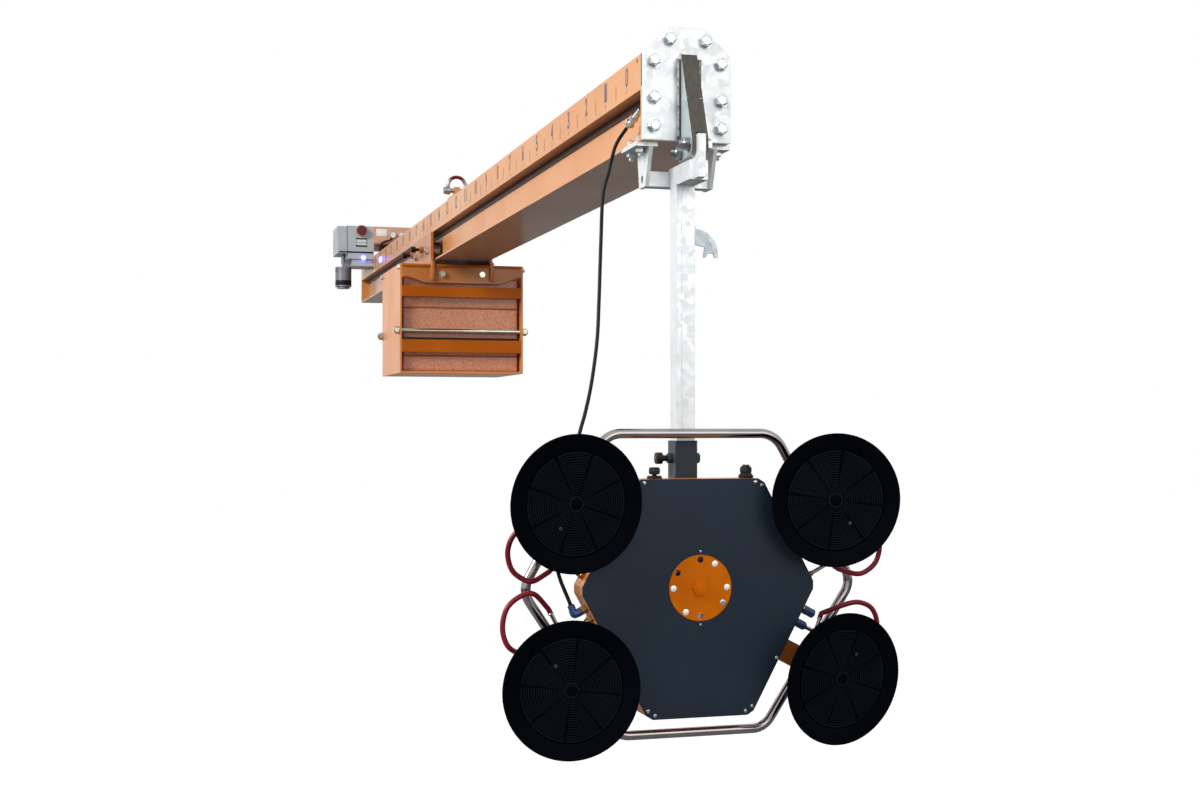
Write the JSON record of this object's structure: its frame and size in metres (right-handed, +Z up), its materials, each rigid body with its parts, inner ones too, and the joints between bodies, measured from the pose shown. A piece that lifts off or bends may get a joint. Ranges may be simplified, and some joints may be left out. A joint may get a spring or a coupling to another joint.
{
  "type": "glass panel lifter",
  "caption": "Counterbalanced vacuum lifter: a rotating cup frame hangs from one end of a crane-hung beam, and a rolling weight basket and vacuum unit balance the other.",
  "frame": {"origin": "inner crown of the lifting bow, where the crane hook bears", "axes": "+Z up, +Y along the beam from the suction frame to the vacuum unit, +X to the right seen from the suction frame's cups"},
  "size_m": [1.0632, 5.7493, 1.9613],
  "materials": {
    "orange_paint": "semi-gloss powder coat",
    "brown_orange_paint": "semi-gloss paint",
    "galvanised": "bright zinc with soft spangle",
    "zinc_bolts": "zinc-plated",
    "grey_paint": "satin dark grey-brown",
    "bronze": "turned",
    "pump_paint": "satin",
    "gauge_glass": "white dial behind a clear window",
    "lamp_blue": "lit indicator",
    "clear_alloy": "satin",
    "black_hose": "smooth matte",
    "bow_steel": "forged and plated",
    "stop_red": "gloss",
    "black_plastic": "moulded",
    "turned_steel": "turned",
    "slab_paint": "rough red-brown primer with scrapes",
    "roller_steel": "turned",
    "slate_paint": "fine matte powder coat",
    "orange_nut": "painted nuts",
    "chrome_tube": "polished",
    "blue_fittings": "blue sleeves on brass and steel tubes",
    "red_hose": "smooth semi-gloss",
    "cup_plate_metal": "dark cast",
    "cup_rubber": "matte moulded"
  },
  "bodies": {
    "beam_assembly": {"beam": "orange_paint", "end_plate": "galvanised", "wedge_bracket": "galvanised", "galvanised_bolts": "zinc_bolts", "hanger_arm": "galvanised", "flange_clamps": "galvanised", "column": "galvanised", "hose_hook": "galvanised", "sleeve": "grey_paint", "hub_housing": "grey_paint", "hub_bushes": "bronze", "shackle_lug": "orange_paint", "pump_housing": "pump_paint", "pressure_gauges": "gauge_glass", "control_box": "pump_paint", "status_lamp": "lamp_blue", "filter_bowl": "clear_alloy", "hose_gland": "clear_alloy", "supply_hose": "black_hose"},
    "bow": {"lifting_bow": "bow_steel", "shackle_pin": "bow_steel"},
    "stop_button": {"stop_button": "stop_red"},
    "power_switch": {"power_switch": "black_plastic"},
    "column_plunger": {"column_plunger": "black_plastic"},
    "index_pin": {"index_pin": "turned_steel"},
    "trolley": {"trolley_frame": "orange_paint", "basket": "brown_orange_paint", "basket_bars": "brown_orange_paint", "counterweights": "slab_paint", "tie_rods": "zinc_bolts", "roller_axles": "zinc_bolts"},
    "roller_fl": {"roller_front_left": "roller_steel"},
    "roller_fr": {"roller_front_right": "roller_steel"},
    "roller_rl": {"roller_rear_left": "roller_steel"},
    "roller_rr": {"roller_rear_right": "roller_steel"},
    "trolley_lock_front": {"trolley_lock_front": "black_plastic"},
    "trolley_lock_rear": {"trolley_lock_rear": "black_plastic"},
    "suction_frame": {"frame_body": "orange_paint", "front_plate": "slate_paint", "index_disc": "orange_paint", "spindle": "turned_steel", "spindle_nut": "orange_nut", "frame_fasteners": "zinc_bolts", "handle_loop": "chrome_tube", "cup_arms": "brown_orange_paint", "air_fittings": "blue_fittings", "red_hose_tl": "red_hose", "red_hose_tr": "red_hose", "red_hose_bl": "red_hose", "red_hose_br": "red_hose"},
    "release_button": {"release_button": "black_plastic"},
    "vent_knob": {"vent_knob": "black_plastic"},
    "cup_tl": {"cup_plate_tl": "cup_plate_metal", "cup_rubber_tl": "cup_rubber"},
    "cup_tr": {"cup_plate_tr": "cup_plate_metal", "cup_rubber_tr": "cup_rubber"},
    "cup_bl": {"cup_plate_bl": "cup_plate_metal", "cup_rubber_bl": "cup_rubber"},
    "cup_br": {"cup_plate_br": "cup_plate_metal", "cup_rubber_br": "cup_rubber"}
  },
  "joints": [
    {"name": "bow_swing", "type": "hinge", "parent": "beam_assembly", "child": "bow", "pos_m": [0, 0, -0.054], "axis": [1, 0, 0], "range_deg": [-75, 75]},
    {"name": "stop_button_press", "type": "slide", "parent": "beam_assembly", "child": "stop_button", "axis": [0, 1, 0], "range_m": [0, 0.004], "stiffness_N_per_m": 400, "springref_m": -0.001},
    {"name": "power_switch_rock", "type": "hinge", "parent": "beam_assembly", "child": "power_switch", "pos_m": [-0.19, 1.859, -0.084], "axis": [1, 0, 0], "range_deg": [-8, 8]},
    {"name": "column_plunger_pull", "type": "slide", "parent": "beam_assembly", "child": "column_plunger", "axis": [-1, 0, 0], "range_m": [0, 0.012], "stiffness_N_per_m": 800, "springref_m": -0.004},
    {"name": "index_pin_lock", "type": "slide", "parent": "beam_assembly", "child": "index_pin", "axis": [0, -1, 0], "range_m": [0, 0.01]},
    {"name": "trolley_travel", "type": "slide", "parent": "beam_assembly", "child": "trolley", "axis": [0, 1, 0], "range_m": [-0.2, 1.5]},
    {"name": "roller_fl_spin", "type": "hinge", "parent": "trolley", "child": "roller_fl", "pos_m": [-0.102, -0.03, -0.335], "axis": [1, 0, 0], "range_deg": [-2116.6, 286.6]},
    {"name": "roller_fr_spin", "type": "hinge", "parent": "trolley", "child": "roller_fr", "pos_m": [0.102, -0.03, -0.335], "axis": [1, 0, 0], "range_deg": [-2116.6, 286.6]},
    {"name": "roller_rl_spin", "type": "hinge", "parent": "trolley", "child": "roller_rl", "pos_m": [-0.102, 0.26, -0.335], "axis": [1, 0, 0], "range_deg": [-2116.6, 286.6]},
    {"name": "roller_rr_spin", "type": "hinge", "parent": "trolley", "child": "roller_rr", "pos_m": [0.102, 0.26, -0.335], "axis": [1, 0, 0], "range_deg": [-2116.6, 286.6]},
    {"name": "trolley_lock_front_screw", "type": "slide", "parent": "trolley", "child": "trolley_lock_front", "axis": [1, 0, 0], "range_m": [0, 0.016]},
    {"name": "trolley_lock_rear_screw", "type": "slide", "parent": "trolley", "child": "trolley_lock_rear", "axis": [1, 0, 0], "range_m": [0, 0.016]},
    {"name": "frame_rotation", "type": "hinge", "parent": "beam_assembly", "child": "suction_frame", "pos_m": [0, -3.165, -1.536], "axis": [0, 1, 0], "range_deg": [-180, 180], "deforming": ["supply_hose"]},
    {"name": "release_button_press", "type": "slide", "parent": "suction_frame", "child": "release_button", "axis": [0, 0, -1], "range_m": [0, 0.004], "stiffness_N_per_m": 300, "springref_m": -0.001},
    {"name": "vent_knob_turn", "type": "hinge", "parent": "suction_frame", "child": "vent_knob", "pos_m": [0.14, -3.21, -1.259], "axis": [0, 0, 1], "range_deg": [0, 90]},
    {"name": "cup_tl_tilt", "type": "hinge", "parent": "suction_frame", "child": "cup_tl", "pos_m": [-0.34994, -3.26, -1.31201], "axis": [0.4689, 0, 0.8833], "range_deg": [-20, 6], "deforming": ["red_hose_tl"]},
    {"name": "cup_tr_tilt", "type": "hinge", "parent": "suction_frame", "child": "cup_tr", "pos_m": [0.34994, -3.26, -1.31201], "axis": [0.4689, 0, -0.8833], "range_deg": [-19, 7], "deforming": ["red_hose_tr"]},
    {"name": "cup_bl_tilt", "type": "hinge", "parent": "suction_frame", "child": "cup_bl", "pos_m": [-0.35363, -3.26, -1.76775], "axis": [-0.4738, 0, 0.8806], "range_deg": [-10, 16], "deforming": ["red_hose_bl"]},
    {"name": "cup_br_tilt", "type": "hinge", "parent": "suction_frame", "child": "cup_br", "pos_m": [0.35363, -3.26, -1.76775], "axis": [-0.4738, 0, -0.8806], "range_deg": [-1, 25], "deforming": ["red_hose_br"]}
  ],
  "couplings": [
    {"joint": "roller_fl_spin", "follows": "trolley_travel", "rad_per_m": -24.57},
    {"joint": "roller_fr_spin", "follows": "trolley_travel", "rad_per_m": -24.57},
    {"joint": "roller_rl_spin", "follows": "trolley_travel", "rad_per_m": -24.57},
    {"joint": "roller_rr_spin", "follows": "trolley_travel", "rad_per_m": -24.57}
  ]
}
